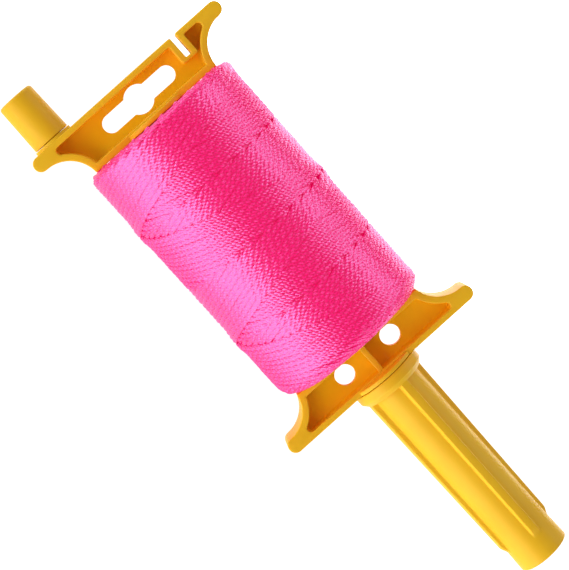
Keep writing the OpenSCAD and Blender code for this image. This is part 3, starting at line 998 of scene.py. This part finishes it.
def lineTree(plies):
    # sweeps a section with a lobe for each ply along every path, turning it as it goes
    net, lines, given = newGeometryTree("twistedLine", ["Radius", "Lobe", "Lay"])
    sides = 3*plies
    curves = net.add("GeometryNodeMeshToCurve", None, {"Mesh": lines})
    run = net.add("GeometryNodeSplineParameter", out="Length")
    curves = storeNumber(net, curves, "along", run*mm)
    start = net.add("GeometryNodeInputNamedAttribute", {"data_type": "FLOAT"}, {"Name": "start"})
    tilt = run*(2*math.pi)/given["Lay"] + start
    tilted = net.add("GeometryNodeSetCurveTilt", None, {"Curve": curves, "Tilt": tilt})
    section = net.add("GeometryNodeCurvePrimitiveCircle", None, {"Resolution": sides, "Radius": 1.0})
    index = net.add("GeometryNodeInputIndex")
    ply = 0.5 - 0.5*(index*(2*math.pi*plies/sides)).cosine()
    reach = given["Radius"] - given["Lobe"]*(1 - ply)
    around = index*(2*math.pi/sides)
    spot = net.add("ShaderNodeCombineXYZ", None, {0: around.cosine()*reach, 1: around.sine()*reach})
    lobed = net.add("GeometryNodeSetPosition", None, {"Geometry": section, "Position": spot})
    lobed = storeNumber(net, lobed, "ply", ply)
    lobed = storeNumber(net, lobed, "side", (index*(math.pi*plies/sides)).sine())
    sockets = {"Curve": tilted, "Profile Curve": lobed, "Fill Caps": True}
    swept = net.add("GeometryNodeCurveToMesh", None, sockets)
    shaded = net.add("GeometryNodeSetShadeSmooth", None, {"Geometry": swept, "Shade Smooth": True})
    closeGeometryTree(net, shaded, lineFinish)
    return net


def pathMesh(paths, seed):
    chance = random.Random(seed)
    points, edges, starts = [], [], []
    for path in paths:
        first = len(points)
        points.extend(path)
        edges.extend((first + i, first + i + 1) for i in range(len(path) - 1))
        starts.extend([chance.uniform(0, 2*math.pi)]*len(path))
    mesh = bpy.data.meshes.new("paths")
    mesh.from_pydata(points, edges, [])
    mesh.attributes.new("start", "FLOAT", "POINT").data.foreach_set("value", starts)
    return mesh


def makeRoll(size, end):
    net = lineTree(size["plies"])
    inputs = {"Radius": size["line"]/2, "Lobe": size["lobe"]*size["line"], "Lay": size["lay"]}
    groups = [(f"line_wraps_{cell + 1}", strandPaths(size, cell)) for cell in range(size["crossings"])]
    groups += [("line_end_crank", endPath(size, end, 0)), ("line_end_handle", endPath(size, end, 1))]
    for name, paths in groups:
        swept = runTree(pathMesh(paths, size["seed"]), net, inputs)
        pressFlat(swept, size)
        piece = finishPiece(name, swept, "reel", lineFinish, [], sharpAngle=0)
        print(name, len(piece.data.polygons)*2, "triangles")
    under = size["line"]*size["underDepth"]
    inset = seatGap + under*size["underInset"]
    rings = size["underRings"]
    stations = [inset + (rollLength - 2*inset)*i/rings for i in range(rings + 1)]
    profile = [(x, rollRadius(size, x) - under) for x in stations]
    profile = [(stations[0], size["coreRadius"])] + profile + [(stations[-1], size["coreRadius"])]
    work = bmesh.new()
    turnedShape(work, profile, closed=True, around=120)
    mesh = meshFrom(work, "line_under_layers")
    finishPiece("line_under_layers", mesh, "reel", lineFinish, ["line_roll"])


makeCrankPlate()
makeHandlePlate()
makeKnob()
makeGrip(gripSize)
print("plates, knob and grip made")
makeScrews()
makeWashers(washerSize)
print("screws and washers made")
makeRoll(rollSize, endSize)
print("line wound")


# the pieces inside the reel keep their CAD shape
insideFinish = dict(arbor=amberFinish, arbor_pin=steelFinish, roll_core=cardFinish, thrust_washer=nylonFinish)
for node, material in insideFinish.items():
    piece = frame["nodes"][node]
    piece.data.materials.clear()
    piece.data.materials.append(material)
print("inside pieces painted")


floorLook = dict(
    colour=(0.36, 0.36, 0.36, 1), roughness=0.8, specular=0.1, reach=6.0,
    shadedGlow=(0.37, 0.37, 0.37, 1), glow=(1, 1, 1, 1), glowRange=(0.045, 0.1), glowStrength=2.6,
)


def makeFloor(look):
    # a pale lit floor whose glow is dimmer beside the reel, a painted shadow, so that less of its light
    # reaches the part from below
    finish, net = newFinish("paleFloor")
    away = net.parts(net.objectPlace())[1].size()
    # painted shadow: near the reel the glow drops to the dimmer colour
    glow = net.mixColour(net.step(away, *look["glowRange"]), look["shadedGlow"], look["glow"])
    shader = net.add("ShaderNodeBsdfPrincipled", None, {
        "Base Color": look["colour"], "Roughness": look["roughness"], "Specular IOR Level": look["specular"],
        "Emission Color": glow, "Emission Strength": look["glowStrength"],
    })
    net.add("ShaderNodeOutputMaterial", None, {"Surface": shader})
    reach = look["reach"]
    corners = [(-reach, -reach, 0), (reach, -reach, 0), (reach, reach, 0), (-reach, reach, 0)]
    mesh = bpy.data.meshes.new("floor")
    mesh.from_pydata(corners, [], [(0, 1, 2, 3)])
    mesh.materials.append(finish)
    floor = newObject("floor", mesh)


lights = dict(
    front=dict(place=(0.0, -1.1, 0.2), size=(1.8, 0.35), power=6.4),
    left=dict(place=(-1.2, -0.2, 0.6), size=(0.6, 0.9), power=2.4),
    right=dict(place=(1.2, -0.2, 0.6), size=(0.6, 0.9), power=2.4),
    top=dict(place=(0.0, 0.7, 0.85), size=(1.8, 0.5), power=7.0),
)
studio = dict(aim=(0, 0, 0.035), colour=(1, 1, 1, 1), strength=0.15)


def makeLights():
    for name, light in lights.items():
        data = bpy.data.lights.new(name, "AREA")
        data.shape = "RECTANGLE"
        data.size, data.size_y = light["size"]
        data.energy = light["power"]
        lamp = newObject(name, data)
        lamp.location = light["place"]
        lamp.rotation_mode = "QUATERNION"
        lamp.rotation_quaternion = (Vector(studio["aim"]) - lamp.location).to_track_quat("-Z", "Y")
    world = bpy.data.worlds.new("studio")
    world.use_nodes = True
    background = world.node_tree.nodes["Background"]
    background.inputs["Color"].default_value = studio["colour"]
    background.inputs["Strength"].default_value = studio["strength"]
    bpy.context.scene.world = world
    bpy.context.scene.view_settings.view_transform = "Standard"


makeFloor(floorLook)
makeLights()
print("floor and light made")
